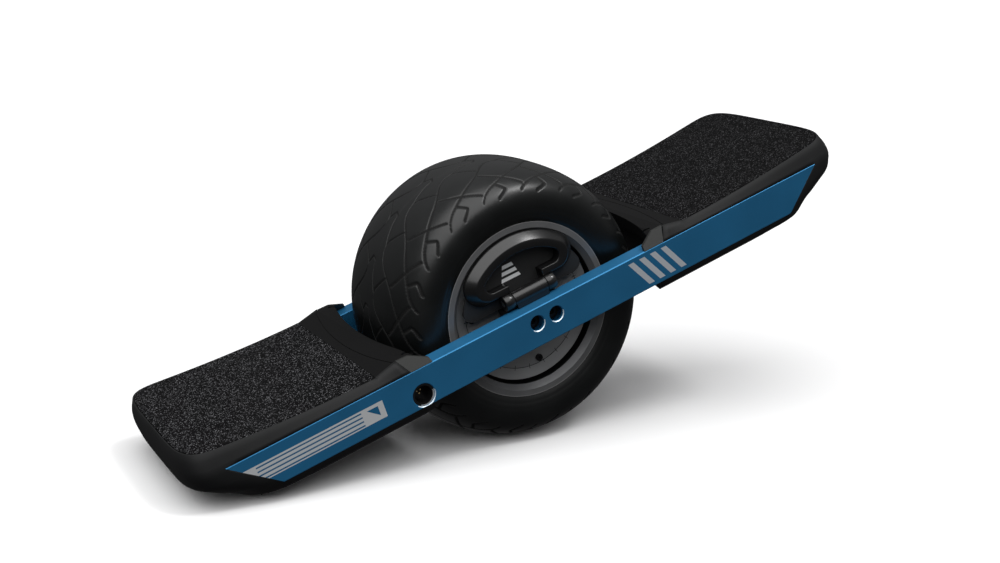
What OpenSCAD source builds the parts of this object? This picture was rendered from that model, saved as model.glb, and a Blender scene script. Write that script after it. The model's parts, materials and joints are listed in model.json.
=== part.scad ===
// Single-wheel self-balancing electric board: two side rails carry a deck at each end and the axle
// of a hub-motor wheel in the middle.  A folding carry handle swings out over the left rail.
// Every sub-part is drawn in the level frame of the board: origin at the centre of the axle, +X to
// the tail, +Y to the right-hand rail, +Z up from the deck.  placed() then tips the board onto its
// nose, the way it stands when nobody is riding it, with the floor at z = 0.

/* [Board] */
// Width over the outer faces of the two rails
board_w = 229; // [200:1:280]
// From the axle to the front tip of the rail's top edge
front_reach = 352; // [320:1:425]
// From the axle to the rear tip of the rail's top edge
rear_reach = 362; // [320:1:435]
// Depth of a rail, top to bottom
rail_h = 40.8; // [32:0.2:50]
// Thickness of a rail, side to side
rail_t = 20; // [16:0.5:24]
// Wall of the hollow rail
rail_wall = 4; // [3:0.25:5]
// Height of the rail's top above the axle
rail_top = 15.2; // [10:0.2:24]
// How far the slanted end of a rail leans back from top to bottom
rail_lean = 46.7; // [20:0.5:56]
// Small bevel along the long edges of a rail
rail_edge = 0.9; // [0.4:0.1:1.5]

/* [Deck] */
// Height of the deck above the rail's top, beside the wheel well
deck_rise = 8.8; // [6:0.2:14]
// How much higher the deck is at its tip than beside the wheel well
kick_h = 14; // [6:0.5:24]
// How far the deck's edge leans in from the rail's outer face
edge_lean = 6.5; // [3:0.5:10]
// Overhang of the deck's end beyond the rail's tip
overhang = 38; // [30:1:50]
// Length of the rounded end of the deck, seen from above
nose_l = 60; // [45:1:80]
// Squareness of the rounded end: 2 is an ellipse, larger is squarer
nose_n = 5.5; // [3:0.5:8]
// Thickness of a footpad without its grip sheet
pad_t = 7.5; // [5:0.5:10]
// Thickness of the grip sheet
grip_t = 1; // [0.6:0.1:2]
// Width of the bumper's rim round the grip sheet
rim_lip = 1.6; // [1:0.1:4]
// Thickness of the pressure-sensor film
film_t = 0.6; // [0.4:0.1:1]
// Depth of the bumper's skid below the rail
skid_h = 14.9; // [8:0.1:22]
// Wall of a bumper
bumper_wall = 3.2; // [2.4:0.2:5]

/* [Wheel] */
// Outside diameter of the tyre
tyre_d = 292; // [240:1:350]
// Gap between the tyre's side and the rail
tyre_side_gap = 10.5; // [9:0.5:16]
// Outside diameter of the rim's flanges
rim_d = 186; // [180:1:200]
// Thickness of the tyre under the tread
tread_t = 9; // [6:0.5:12]
// Gap between the tyre and the wheel well, along the board
well_gap = 10; // [6:0.5:18]
// Radius of the wheel well's edge, seen from above
well_r = 390; // [300:5:500]
// Width of the trim beside the wheel well
trim_l = 30; // [26:1:40]
// Height of the trim's raised lip above the deck
lip_h = 5; // [2:0.5:8]
// Radius of the axle
axle_r = 12.5; // [10:0.5:14]
// Spacing of the two bolts that hold an axle block
bolt_gap = 22.9; // [19:0.1:28]
// Thread diameter of those bolts
bolt_d = 10; // [8:0.5:12]
// Number of screws in a hub cover
cover_screw_n = 7; // [5:1:9]

/* [Handle] */
// Outer radius of the handle's bow
bow_r = 85; // [80:0.5:88]
// Width of the bow
bow_w = 16; // [13:0.5:19]
// Thickness of the bow
bow_t = 12.6; // [10:0.2:13]
// Length of the fixed barrel of the hinge
barrel_l = 39; // [30:1:46]
// Length of a collar of the hinge
collar_l = 10.8; // [8:0.2:14]
// Radius of the hinge pin
pin_r = 3; // [2.5:0.1:4]

/* [Sockets] */
// From the axle to the charging socket, towards the front
socket_x = 148.3; // [140:0.5:175]
// Radius of the charging socket's hole in the rail
socket_r = 11.8; // [9:0.1:13]
// From the axle to the power button, towards the rear
button_x = 150; // [140:0.5:175]
// Radius of the power button
button_r = 6; // [5:0.1:7.5]
// Travel of the power button
button_stroke = 1.5; // [1:0.1:2.5]

/* [Boxes] */
// Wall of the battery and controller boxes
box_wall = 3; // [2:0.25:4]
// Diameter of a battery cell
cell_d = 21; // [18:0.5:22]
// Length of a battery cell
cell_l = 70; // [60:1:75]

/* [Hidden] */
$fn = 96;
part_gap = 0.3;
pin_fit = 0.05;
axle_fit = 0.05;
button_fit = 0.08;
rail_out = board_w / 2;
rail_in = rail_out - rail_t;
rail_low = rail_top - rail_h;
tyre_r = tyre_d / 2;
tyre_hw = rail_in - tyre_side_gap;
tyre_wide_r = tyre_r - 35.5;
rim_r = rim_d / 2;
rim_y = tyre_hw - 4;
flange_t = 2.6;
seat_r = rim_r - 7.7;
dish_y = rim_y - 12;
hub_y = dish_y - 2.4;
cover_r = 66.2;
cover_t = 4.6;
cover_screw_r = cover_r - 5.4;
bearing_or = 21;
bearing_w = 12;
bearing_y = hub_y - 14.6;
stator_r = 63.2;
magnet_in = stator_r + 0.8;
can_r = magnet_in + 3.6;
stator_hw = 22;
block_x = 29;
socket_z = rail_low + 12.6;
button_z = rail_low + rail_h / 2;
block_top = rail_top - 1.2;
block_low = -17;
block_y = hub_y + 4.4;
axle_end = rail_in - 12.6;
bolt_z = rail_low + rail_h / 2 + 4.2;
bolt_head_r = 7.4;
bolt_hole_r = 8;
hinge_y = rail_in - 2.5;
hinge_z = rail_top + 9.3;
barrel_r = 8.2;
collar_r = 8.6;
bow_back = rim_y + 1.2;
bow_low = hinge_z + 3.5;
window_low = bow_low + 13;
plate_r = bow_r - 9;
plate_y = bow_back - 3.8;
plate_t = 3;
well_x = tyre_r + well_gap;
grip_x = well_x + trim_l;
clip_x = well_x + 5.3;
clip_tip = well_x - 27;
clip_top_x = well_x - 8.3;
clip_slant = 8;
deck_z0 = rail_top + deck_rise;
top_hw = rail_out - edge_lean;
// Sides of the wheel-well trim, at the rail's top and at the top of its lip
side_low = rail_out - edge_lean * 0.6;
side_top = top_hw - 6;
seam_back = 21;
seam_w = 0.7;
pad_rest = 0.4;
box_end = well_x + 6;
box_hw = rail_in - 1;
box_low = rail_low - skid_h + bumper_wall + 0.6;
box_top = rail_top - 3.4;
lid_t = 3;
skid_z = rail_low - skid_h;
light_hw = 62;
light_hh = 4.5;
light_z = rail_top - 8.5;
side_n = 7;
nose_steps = 10;
// How much longer and rounder the end gets below the deck
low_l = nose_l + 20;
low_n = nose_n / 2;
// How far a nose bay reaches in between the rails, and the cut of its corners
bay_back = 20;
bay_cut = 50;
// Levels of the bumper's outer surface, top to bottom: [share of the deck's rise above the rail,
// depth below the rail's top, reach past the rail's tip, step in from the rail's outer face,
// length of the rounded end, squareness of the rounded end]
levels = [
    [1, 0, overhang - 5.7, edge_lean, nose_l, nose_n],
    [0.42, 0, overhang - 0.7, edge_lean * 0.42, nose_l, nose_n],
    [0, 0, overhang, 0, nose_l, nose_n],
    [0, rail_top, overhang - 1, 0, nose_l + 10, nose_n - 0.7],
    [0, rail_h - 6, overhang - 16, 0, low_l, low_n],
    [0, rail_h + 0.2, overhang - 26, 1.2, low_l - 5, low_n],
    [0, rail_h + 8.4, overhang - 39, 5.5, low_l - 18, low_n + 0.2],
    [0, rail_h + skid_h, overhang - 69, 16.5, low_l - 20, low_n + 0.2]
];
// The board stands on the front edge of its skid, which is the level with index 6
stand_x = front_reach + levels[6][2];
stand_z = rail_top - levels[6][1];
stand_len = sqrt(stand_x * stand_x + stand_z * stand_z);
rest_pitch = asin(tyre_r / stand_len) - atan2(-stand_z, stand_x);

// ---- shared shapes ----

// Tips the level board onto its nose
module placed() { translate([0, 0, tyre_r]) rotate([0, -rest_pitch, 0]) children(); }
// Repeats a right-hand piece on the left-hand side too
module both_sides() { children(); mirror([0, 1, 0]) children(); }
// Turns a tail-end piece into its nose-end twin
module to_front() { mirror([1, 0, 0]) children(); }
// A cylinder along the Y axis that starts at y and runs outwards
module y_cyl(r, y, l) { translate([0, y, 0]) rotate([-90, 0, 0]) cylinder(r = r, h = l); }
// A ring along the Y axis
module y_ring(r_out, r_in, y, l) {
    difference() {
        y_cyl(r_out, y, l);
        y_cyl(r_in, y - 1, l + 2);
    }
}
// A block given by its lowest and highest corners
module block(a, b) { translate(a) cube(b - a); }

// Height of the deck over x: a lip at the wheel well, then level, then a smooth kick to the tip
function kick(x, tip) = kick_h * pow(max(0, x - grip_x) / (tip - grip_x), 1.8);
function lip(x) = lip_h * min(1, max(0, grip_x - x) / (grip_x - clip_x));
function deck_z(x, tip) = deck_z0 + kick(x, tip) + lip(x);

// One half of a level's outline: straight along the side, then a superellipse round the end
function end_curve(tip, hw, start, len = nose_l, pow_n = nose_n) = [
    for (i = [0 : side_n - 1]) [start + (tip - len - start) * i / side_n, hw],
    for (i = [0 : nose_steps])
        let (a = 90 - 82 * i / nose_steps,
             r = pow(pow(cos(a) / len, pow_n) + pow(sin(a) / hw, pow_n), -1 / pow_n))
        [tip - len + r * cos(a), r * sin(a)]
];

// A solid through several outlines, each a list of [x, y, z] from the wheel end to the tip, closed
// across the board by its own mirror image
module end_loft(rows) {
    k = len(rows);
    n = len(rows[0]);
    pts = [for (s = [1, -1]) for (row = rows) for (p = row) [p[0], s * p[1], p[2]]];
    function id(s, row, j) = s * k * n + row * n + j;
    side = [for (s = [0, 1]) for (row = [0 : k - 2]) for (j = [0 : n - 2])
        let (a = id(s, row, j), b = id(s, row, j + 1), c = id(s, row + 1, j + 1),
             d = id(s, row + 1, j))
        each (s == 0 ? [[a, c, b], [a, d, c]] : [[a, b, c], [a, c, d]])];
    flat = [for (j = [0 : n - 2])
        each [[id(0, 0, j), id(0, 0, j + 1), id(1, 0, j + 1), id(1, 0, j)],
              [id(0, k - 1, j + 1), id(0, k - 1, j), id(1, k - 1, j), id(1, k - 1, j + 1)]]];
    cap = [for (row = [0 : k - 2])
        each [[id(0, row + 1, 0), id(0, row, 0), id(1, row, 0), id(1, row + 1, 0)],
              [id(0, row, n - 1), id(0, row + 1, n - 1), id(1, row + 1, n - 1),
               id(1, row, n - 1)]]];
    polyhedron(points = pts, faces = concat(side, flat, cap), convexity = 6);
}

// Outline of one bumper level
function level_row(reach, lv, start) =
    let (deck_tip = reach + levels[0][2])
    [for (p = end_curve(reach + lv[2], rail_out - lv[3], start, lv[4], lv[5]))
        [p[0], p[1], rail_top - lv[1] + lv[0] * (deck_z(p[0], deck_tip) - rail_top)]];

// The outer form of a deck's end, between its wheel-well end and its tip
module end_form(reach, start) {
    end_loft([for (lv = levels) level_row(reach, lv, start)]);
}

// A sheet that follows the deck: its edge is set in from the bumper's rim
module deck_sheet(reach, start, inset, top, thick) {
    tip = reach + levels[0][2];
    curve = end_curve(tip - inset, top_hw - inset, start);
    end_loft([for (z = [top, top + thick])
        [for (p = curve) [p[0], p[1], deck_z(p[0], tip) - z]]]);
}

// Wheel-well cut: everything on the wheel's side of a wide arc
module well_cut() {
    translate([well_x - well_r, 0, -200])
        cylinder(r = well_r, h = 400, $fn = 180);
}

// Side outline of a rail, grown by a clearance
module rail_outline(g = 0) {
    polygon([[-front_reach - g, rail_top + g], [rear_reach + g, rail_top + g],
        [rear_reach - rail_lean + g, rail_low - g], [-front_reach + rail_lean - g, rail_low - g]]);
}

// ---- rails ----

module rail_blank() {
    e = rail_edge;
    w = rail_wall;
    intersection() {
        rotate([90, 0, 0]) translate([0, 0, -rail_out - 1])
            linear_extrude(rail_t + 2) rail_outline();
        translate([-front_reach - 1, 0, 0]) rotate([90, 0, 90])
            linear_extrude(front_reach + rear_reach + 2) difference() {
                polygon([[rail_in, rail_low + e], [rail_in, rail_top - e],
                    [rail_in + e, rail_top], [rail_out - e, rail_top], [rail_out, rail_top - e],
                    [rail_out, rail_low + e], [rail_out - e, rail_low], [rail_in + e, rail_low]]);
                translate([rail_in + w, rail_low + w])
                    square([rail_t - 2 * w, rail_h - 2 * w]);
            }
    }
}

module bolt_places() {
    for (s = [-1, 1]) translate([s * bolt_gap / 2 + 1, 0, bolt_z]) children();
}

module rail_bores() {
    bolt_places() {
        y_cyl(bolt_hole_r, rail_out - rail_wall - 1, rail_wall + 2);
        y_cyl(bolt_d / 2 + 0.4, rail_in - 1, rail_wall + 2);
        translate([0, rail_out - 0.8, 0]) rotate([-90, 0, 0])
            cylinder(r1 = bolt_hole_r, r2 = bolt_hole_r + 0.9, h = 0.9);
    }
}

module left_rail() placed() color("#1d4e74") mirror([0, 1, 0]) difference() {
    rail_blank();
    rail_bores();
    translate([-socket_x, 0, socket_z]) y_cyl(socket_r, rail_in - 1, rail_t + 2);
    translate([-socket_x, rail_out - 0.8, socket_z]) rotate([-90, 0, 0])
        cylinder(r1 = socket_r, r2 = socket_r + 0.9, h = 0.9);
}

module right_rail() placed() color("#1d4e74") difference() {
    rail_blank();
    rail_bores();
    translate([button_x, 0, button_z])
        y_cyl(button_r + 3.4, rail_in + rail_wall + 1, rail_t);
}

// ---- deck ends ----

// Space taken by a rail at the tail end, with its clearance
module rail_space() {
    rotate([90, 0, 0]) translate([0, 0, -rail_out - 1])
        linear_extrude(rail_t + 1 + part_gap) intersection() {
            rail_outline(0.05);
            translate([0, rail_low - 10]) square([rear_reach + front_reach, rail_h + 20]);
        }
}

module light_space(reach, g) {
    tip = reach + levels[3][2];
    block([tip - 9, -light_hw - g, light_z - light_hh - g],
        [tip + 20, light_hw + g, light_z + light_hh + g]);
}
module skid_screw_places(reach) {
    for (x = [grip_x + 14, reach - rail_lean - 16]) for (s = [-1, 1])
        translate([x, s * (box_hw - 16), skid_z]) children();
}

// Hollow inside the nose: an upright prism between two heights, its corners cut off
module nose_bay(reach, past_tip, low, high) {
    start = reach - rail_lean - bay_back;
    tip = reach + past_tip;
    hw = rail_in - 2;
    translate([0, 0, low]) linear_extrude(high - low)
        polygon([[start, hw], [tip - bay_cut, hw], [tip, hw - bay_cut + 5],
            [tip, bay_cut - 5 - hw], [tip - bay_cut, -hw], [start, -hw]]);
}

// Room above the rails for the trim, between its sides, and for the corner clips beside it
module trim_seat() {
    top = deck_z0 + lip_h + 1;
    low = rail_top + 0.02;
    rotate([90, 0, 90]) linear_extrude(grip_x)
        polygon([[side_low + part_gap, low], [side_top + part_gap, top], [side_top, 100],
            [-side_top, 100], [-side_top - part_gap, top], [-side_low - part_gap, low]]);
    rotate([90, 0, 0]) translate([0, 0, -rail_out - 1]) linear_extrude(2 * rail_out + 2)
        polygon([[0, low], [clip_x - clip_slant, low], [clip_x, top - 1], [clip_x, 100], [0, 100]]);
}

module bumper(reach) color("#2c2d2f") difference() {
    end_form(reach, clip_tip - 6);
    // wheel well, and the seat of the trim and its clips above the rails
    well_cut();
    trim_seat();
    // recess of the footpad, and the bay of the box between the rails
    deck_sheet(reach, grip_x - part_gap, rim_lip, -30, 30 + grip_t + pad_t);
    block([0, -rail_in - part_gap, box_low - part_gap],
        [reach - rail_lean + 24, rail_in + part_gap, rail_top + 3]);
    both_sides() rail_space();
    nose_bay(reach, overhang - 18, -12, rail_top + 3);
    nose_bay(reach, overhang - 39, rail_low - 4, -11);
    light_space(reach, 0);
    skid_screw_places(reach) {
        translate([0, 0, -1]) cylinder(r = 4.5, h = 2.2);
        cylinder(r = 2.2, h = 20);
    }
}

module front_bumper() placed() to_front() bumper(front_reach);
module rear_bumper() placed() bumper(rear_reach);

// Footpad base: follows the deck, rests on the box lid, the trim and the bumper's ledge
module footpad(reach)
    deck_sheet(reach, grip_x, rim_lip + part_gap, grip_t, pad_t - pad_rest);

module front_footpad() placed() to_front() color("#232426") difference() {
    footpad(front_reach);
    sensor_form(-0.25);
}
module rear_footpad() placed() color("#232426") footpad(rear_reach);

module grip(reach) color("#17181a") deck_sheet(reach, grip_x, rim_lip + part_gap, 0, grip_t);
module front_grip() placed() to_front() grip(front_reach);
module rear_grip() placed() grip(rear_reach);

// Pressure-sensor film in a pocket under the front grip sheet
module sensor_form(grow) {
    intersection() {
        deck_sheet(front_reach, grip_x + 6, rim_lip + 14, grip_t + 0.2 + grow, film_t - grow);
        block([grip_x + 6, -rail_out, 0], [front_reach - 20, rail_out, 80]);
    }
}
module foot_sensor() placed() color("#8a6a2c") to_front() sensor_form(0);

// ---- wheel-well trims and their corner clips ----

module trim_profile() {
    polygon([[grip_x - part_gap, rail_top + 0.1], [grip_x - part_gap, deck_z0],
        [clip_x, deck_z0 + lip_h], [clip_top_x, deck_z0 + lip_h - 0.4],
        [clip_tip, rail_top + 4.6], [clip_tip, rail_top + 0.1]]);
}

module wheel_trim() color("#202123") difference() {
    rotate([90, 0, 0]) translate([0, 0, -top_hw]) linear_extrude(2 * top_hw) trim_profile();
    well_cut();
    // beside the lip the trim steps in behind the bumper's strip and the corner clips
    both_sides() rotate([90, 0, 90]) linear_extrude(grip_x + 1)
        polygon([[side_low, rail_top + 0.02], [side_top, deck_z0 + lip_h + 1],
            [rail_out + 5, deck_z0 + lip_h + 1], [rail_out + 5, rail_top + 0.02]]);
    // fine seam round the well
    difference() {
        translate([well_x - well_r, 0, 0]) difference() {
            cylinder(r = well_r + seam_back + seam_w, h = 60, $fn = 180);
            translate([0, 0, -1]) cylinder(r = well_r + seam_back, h = 62, $fn = 180);
        }
        rotate([90, 0, 0]) translate([0, 0, -rail_out]) linear_extrude(2 * rail_out)
            translate([0, -seam_w]) trim_profile();
    }
    // slots for the hooks of a clip-on mudguard
    both_sides() translate([clip_top_x, 95.5 * rail_out / 114.5, rail_top + 3])
        rotate([0, 0, 28]) block([-4, -1.6, 0], [4, 1.6, 30]);
}
module front_wheel_trim() placed() to_front() wheel_trim();
module rear_wheel_trim() placed() wheel_trim();

// Small wedges that close the end of the strip over each rail
module corner_clip() {
    low = rail_top + 0.1;
    intersection() {
        rotate([90, 0, 0]) translate([0, 0, -rail_out - 1]) linear_extrude(rail_t)
            polygon([[clip_x - clip_slant - 0.2, low], [clip_x - 0.2, deck_z0 + lip_h],
                [clip_top_x, deck_z0 + lip_h - 0.4], [clip_tip + 1, rail_top + 4.8],
                [clip_tip, low]]);
        rotate([90, 0, 90]) linear_extrude(grip_x)
            polygon([[side_low + part_gap, rail_top], [side_top + part_gap, deck_z0 + lip_h + 1],
                [top_hw + 0.5 - edge_lean * lip_h / deck_rise, deck_z0 + lip_h + 1],
                [rail_out, rail_top]]);
    }
}
module corner_clips() color("#6a6b6d") both_sides() corner_clip();
module front_corner_clips() placed() to_front() corner_clips();
module rear_corner_clips() placed() corner_clips();

// ---- battery and controller, in boxes between the rails ----

module box_blank(reach, low, high, inset) {
    block([box_end + inset, -box_hw + inset, low],
        [reach - rail_lean + 22 - inset, box_hw - inset, high]);
}
module lid_screw_places(reach) {
    for (x = [box_end + 7, reach - rail_lean + 15]) for (s = [-1, 1])
        translate([x, s * (box_hw - 7), 0]) children();
}
module open_box(reach) difference() {
    box_blank(reach, box_low, box_top, 0);
    difference() {
        box_blank(reach, box_low + box_wall, box_top + 1, box_wall);
        lid_screw_places(reach) translate([0, 0, box_low]) cylinder(r = 5.2, h = 80);
    }
    lid_screw_places(reach) translate([0, 0, box_top - 14]) cylinder(r = 1.7, h = 20);
}
module box_lid(reach) difference() {
    box_blank(reach, box_top, box_top + lid_t, 0);
    lid_screw_places(reach) {
        translate([0, 0, box_top - 1]) cylinder(r = 2.2, h = 10);
        translate([0, 0, box_top + 1.2]) cylinder(r = 4.2, h = 10);
    }
}
module battery_box() placed() color("#303236") to_front() open_box(front_reach);
module battery_lid() placed() color("#26282b") to_front() box_lid(front_reach);
module controller_box() placed() color("#4a4d52") open_box(rear_reach);
module controller_lid() placed() color("#26282b") box_lid(rear_reach);

cell_cols = floor((front_reach - rail_lean + 12 - box_end - 30) / (cell_d + 1));
module battery_cells() placed() color("#3f7d5c") to_front()
    for (i = [0 : cell_cols - 1]) for (k = [0, 1]) for (s = [0, 1]) mirror([0, s, 0])
        translate([box_end + 28 + (i + 0.5) * (cell_d + 1), 0,
            box_low + box_wall + cell_d / 2 + 0.4 + k * (cell_d + 0.4)])
            y_cyl(cell_d / 2, 2, cell_l);

module battery_board() placed() color("#1f5d3a") to_front()
    block([box_end + 14, -62, box_low + box_wall + 1], [box_end + 15.6, 62, box_top - 5]);

module controller_board() placed() color("#1f5d3a") difference() {
    block([box_end + 16, -74, box_low + box_wall + 12],
        [rear_reach - rail_lean + 8, 74, box_low + box_wall + 13.6]);
    for (x = [box_end + 24, rear_reach - rail_lean]) for (s = [-1, 1])
        translate([x, s * 66, box_low]) cylinder(r = 2, h = 60);
}
module power_stage() placed() color("#9a9da1") {
    z = box_low + box_wall;
    block([box_end + 34, -50, z], [box_end + 74, 50, z + 11.9]);
    for (i = [0 : 5]) translate([box_end + 96, -50 + i * 20, z + 13.7])
        cylinder(d = 16, h = 22, $fn = 48);
}
module lid_screws() placed() color("#b9bcc0") {
    for (f = [0, 1]) mirror([f, 0, 0]) lid_screw_places(f == 1 ? front_reach : rear_reach) {
        translate([0, 0, box_top + 1.2]) cylinder(r = 3.6, h = 1.8);
        translate([0, 0, box_top - 12]) cylinder(r = 1.65, h = 13.3);
    }
}
module skid_screws() placed() color("#3a3b3d") {
    for (f = [0, 1]) mirror([f, 0, 0]) skid_screw_places(f == 1 ? front_reach : rear_reach) {
        difference() {
            translate([0, 0, 0.2]) cylinder(r = 4, h = 1);
            translate([0, 0, -1]) cylinder(r = 1.5, h = 1.8, $fn = 6);
        }
        cylinder(r = 1.9, h = bumper_wall);
    }
}

// ---- lights behind smoked windows in both ends ----

module light_lens(reach) color("#3a3f46") {
    tip = reach + levels[3][2];
    block([tip - 4, -light_hw + 0.2, light_z - light_hh + 0.2],
        [tip - 1.2, light_hw - 0.2, light_z + light_hh - 0.2]);
}
module light_board(reach) color("#d8d2b0") {
    tip = reach + levels[3][2];
    block([tip - 8.6, -light_hw + 2, light_z - light_hh + 1],
        [tip - 7.2, light_hw - 2, light_z + light_hh - 1]);
    for (i = [-5 : 5]) block([tip - 7.2, i * 11 - 1.6, light_z - 1.6],
        [tip - 6, i * 11 + 1.6, light_z + 1.6]);
}
module front_light_lens() placed() to_front() light_lens(front_reach);
module rear_light_lens() placed() light_lens(rear_reach);
module front_light_board() placed() to_front() light_board(front_reach);
module rear_light_board() placed() light_board(rear_reach);

// ---- axle, its blocks and the fixed half of the motor ----

module axle_shape(g, hw) {
    intersection() {
        y_cyl(axle_r + g, -hw, 2 * hw);
        union() {
            block([-30, -block_y, -30], [30, block_y, 30]);
            block([-30, -hw, -axle_r * 0.72 - g], [30, hw, axle_r * 0.72 + g]);
        }
    }
}
module axle_block() difference() {
    block([-block_x, block_y, block_low], [block_x, rail_in, block_top]);
    axle_shape(0.02, axle_end + 0.2);
    bolt_places() y_cyl(bolt_d / 2 - 0.8, rail_in - 12, 20);
}
module left_axle_block() placed() color("#55585c") mirror([0, 1, 0]) axle_block();
module right_axle_block() placed() color("#55585c") difference() {
    axle_block();
    // way out of the motor's cable
    translate([block_x - 8, rail_in - 3.6, -9]) rotate([0, 90, 0]) cylinder(r = 3.6, h = 20);
}
module axle() placed() color("#a9acb0") difference() {
    axle_shape(0, axle_end);
    y_cyl(4, 20, axle_end);
}
module axle_bolts() placed() color("#2b2c2e") both_sides() bolt_places() difference() {
    union() {
        y_cyl(bolt_d / 2 - 0.85, rail_in - 11.5, 14);
        y_cyl(bolt_d / 2, rail_in, rail_wall);
        y_cyl(bolt_head_r, rail_in + rail_wall, 6);
    }
    translate([0, rail_in + rail_wall + 2.5, 0]) rotate([-90, 0, 0])
        cylinder(r = 3.4, h = 10, $fn = 6);
}
module stator_core() placed() color("#7d7468") difference() {
    y_cyl(stator_r, -stator_hw, 2 * stator_hw);
    y_cyl(axle_r, -50, 100);
    for (i = [0 : 23]) rotate([0, i * 15, 0]) {
        block([30, -stator_hw - 1, -3.4], [stator_r - 4, stator_hw + 1, 3.4]);
        block([stator_r - 5, -stator_hw - 1, -1.2], [stator_r + 2, stator_hw + 1, 1.2]);
    }
}
module stator_windings() placed() color("#b8692f")
    for (i = [0 : 23]) rotate([0, i * 15, 0])
        block([33, -stator_hw - 7, -3.1], [stator_r - 5.2, stator_hw + 7, 3.1]);

module motor_cable() placed() color("#1b1b1c") {
    y = rail_in - 3.6;
    translate([block_x - 6, y, -9]) rotate([0, 90, 0])
        cylinder(r = 3, h = box_end - block_x + 6, $fn = 32);
}

// ---- charging socket, power button ----

module socket_at() { translate([-socket_x, 0, socket_z]) mirror([0, 1, 0]) children(); }
module pin_places() {
    for (i = [0 : 2]) rotate([0, 90 + i * 120, 0]) translate([2.2, 0, 0]) children();
}
module charge_socket() placed() color("#141415") socket_at() difference() {
    y_cyl(socket_r - 0.15, rail_in - 1, rail_t - 0.5);
    y_cyl(socket_r - 2.4, rail_in + 2, rail_t);
    pin_places() y_cyl(0.75, rail_in - 2, rail_t);
}
module charge_pins() placed() color("#d9b45a") socket_at()
    pin_places() y_cyl(0.75, rail_in - 0.5, 7.5);
module charge_cable() placed() color("#1b1b1c")
    translate([-box_end, -rail_in + 3.05, socket_z]) rotate([0, 90, 0])
        cylinder(r = 2, h = box_end - socket_x - 5, $fn = 24);

module button_at() { translate([button_x, 0, button_z]) children(); }
module button_bezel() placed() color("#2a2b2d") button_at() difference() {
    y_cyl(button_r + 3.3, rail_in + rail_wall, rail_t - rail_wall);
    y_cyl(button_r + button_fit, rail_in + rail_wall + 3, rail_t);
}
module power_button() placed() color("#c9ccd0") button_at() difference() {
    y_cyl(button_r, rail_out - 7.5, 7);
    y_cyl(button_r - 2, rail_out - 8.5, 5);
}
module button_spring() placed() color("#b9bcc0") button_at()
    y_ring(button_r - 2.8, button_r - 3.8, rail_in + rail_wall + 3, rail_t - rail_wall - 3 - 3.7 -
        button_stroke - 0.3);

// ---- carry handle ----

module hinge_at() { translate([0, -hinge_y, hinge_z]) children(); }
module x_cyl(r, x, l) { translate([x, 0, 0]) rotate([0, 90, 0]) cylinder(r = r, h = l); }

module handle_hinge_block() placed() color("#26272a") difference() {
    union() {
        hinge_at() x_cyl(barrel_r, -barrel_l / 2, barrel_l);
        // flat apron of the barrel, just clear of the rail's top
        block([-barrel_l / 2 + 0.6, -hinge_y - barrel_r + 0.6, rail_top + 0.3],
            [barrel_l / 2 - 0.6, -rail_in + 2, hinge_z]);
        // foot inside the rail, carried on under the back plate
        block([1 - barrel_l / 2, -rail_in + 0.6, block_top], [barrel_l / 2 - 1, -rail_in + 7, hinge_z]);
        block([1 - barrel_l / 2, -rail_in + 0.6, block_top],
            [barrel_l / 2 - 1, -plate_y - plate_t, block_top + 4]);
        block([1 - barrel_l / 2, -plate_y - plate_t - 3, block_top],
            [barrel_l / 2 - 1, -plate_y - plate_t, hinge_z - 1]);
    }
    hinge_at() x_cyl(pin_r, -50, 100);
}
module handle_hinge_pin() placed() color("#c4c7cb")
    hinge_at() x_cyl(pin_r, -barrel_l / 2 - collar_l - 0.4, barrel_l + 2 * collar_l + 0.8);

// D shape: a circle cut flat at z = low, its corners rounded
module d_shape(r, low, corner) {
    offset(r = corner) offset(delta = -corner) intersection() {
        circle(r = r);
        translate([-r, low]) square([2 * r, 2 * r]);
    }
}
module handle_back_plate() placed() color("#1a1b1d") difference() {
    translate([0, -plate_y, 0]) rotate([90, 0, 0]) linear_extrude(plate_t)
        d_shape(plate_r, block_top + 2, 10);
    for (s = [-1, 1]) {
        translate([s * 14, 0, hinge_z - 3]) mirror([0, 1, 0]) y_cyl(1.7, plate_y - 2, 10);
        translate([s * 40, 0, hinge_z + 9]) mirror([0, 1, 0])
            y_cyl(4.05, plate_y + plate_t - 2, 10);
    }
}
module plate_screws() placed() color("#c4c7cb") for (s = [-1, 1])
    translate([s * 14, 0, hinge_z - 3]) mirror([0, 1, 0]) {
        y_cyl(1.65, plate_y - 1, plate_t + 1);
        y_cyl(3, plate_y - 2, 2);
    }
module plate_magnets() placed() color("#d0d2d5") for (s = [-1, 1])
    translate([s * 40, 0, hinge_z + 9]) mirror([0, 1, 0]) y_cyl(4, plate_y + plate_t - 2, 1.8);

module carry_handle() placed() color("#202124") difference() {
    union() {
        translate([0, -bow_back, 0]) rotate([90, 0, 0]) linear_extrude(bow_t) difference() {
            d_shape(bow_r, bow_low, 20);
            d_shape(bow_r - bow_w, window_low, 8);
            // the fixed barrel lies between the two arms
            translate([-barrel_l / 2 - 0.4, bow_low - 1])
                square([barrel_l + 0.8, window_low - bow_low + 2]);
        }
        for (s = [0, 1]) mirror([s, 0, 0]) hinge_at() x_cyl(collar_r, barrel_l / 2 + 0.4, collar_l);
    }
    hinge_at() x_cyl(pin_r + pin_fit, -50, 100);
    for (s = [-1, 1]) translate([s * 40, 0, hinge_z + 9]) mirror([0, 1, 0])
        y_cyl(4.05, bow_back - 2, 4);
}
module handle_magnets() placed() color("#d0d2d5") for (s = [-1, 1])
    translate([s * 40, 0, hinge_z + 9]) mirror([0, 1, 0]) y_cyl(4, bow_back + 0.1, 1.8);

// ---- wheel ----

// Turns a [radius, width] profile about the axle
module turned() { rotate([90, 0, 0]) rotate_extrude($fn = 180) children(); }

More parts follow.
